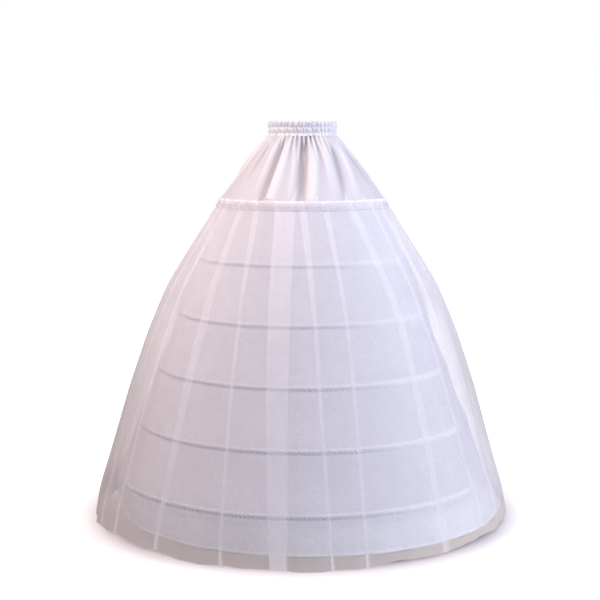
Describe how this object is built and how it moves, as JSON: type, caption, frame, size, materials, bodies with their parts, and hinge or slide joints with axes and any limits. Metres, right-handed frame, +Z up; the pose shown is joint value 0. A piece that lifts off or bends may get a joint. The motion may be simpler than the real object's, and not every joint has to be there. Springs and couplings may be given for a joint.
{
  "type": "crinoline hoop petticoat",
  "caption": "Bell-shaped crinoline petticoat: gathered elastic waist, steel hoops in channels sewn on an opaque lining, and a sheer pleated overskirt. It holds a gown's skirt out.",
  "frame": {"origin": "centre of the waist opening, at the waistband's top edge", "axes": "+Z up along the wearer's body, -Y the front, +X the right side seen from the front"},
  "size_m": [1.2179, 1.2201, 1.157],
  "materials": {
    "waist_cloth": "gathered satin-weave polyester, soft sheen",
    "elastic": "woven elastic, matt",
    "yoke_satin": "satin-weave polyester, soft sheen",
    "lining_cloth": "plain-weave polyester, faint sheen",
    "channel_tape": "woven tape, stitched along both edges",
    "tulle": "sheer net, matt",
    "hoop_steel": "coated spring steel",
    "connector_steel": "crimped plain steel"
  },
  "bodies": {
    "root": {"waistband_casing": "waist_cloth", "waist_elastic": "elastic", "yoke": "yoke_satin", "lining_skirt": "lining_cloth", "tulle_overskirt": "tulle", "hoop_channel_1": "channel_tape", "hoop_1": "hoop_steel", "hoop_connector_1": "connector_steel", "hoop_channel_2": "channel_tape", "hoop_2": "hoop_steel", "hoop_connector_2": "connector_steel", "hoop_channel_3": "channel_tape", "hoop_3": "hoop_steel", "hoop_connector_3": "connector_steel", "hoop_channel_4": "channel_tape", "hoop_4": "hoop_steel", "hoop_connector_4": "connector_steel", "hoop_channel_5": "channel_tape", "hoop_5": "hoop_steel", "hoop_connector_5": "connector_steel", "hoop_channel_6": "channel_tape", "hoop_6": "hoop_steel", "hoop_connector_6": "connector_steel"}
  },
  "joints": []
}
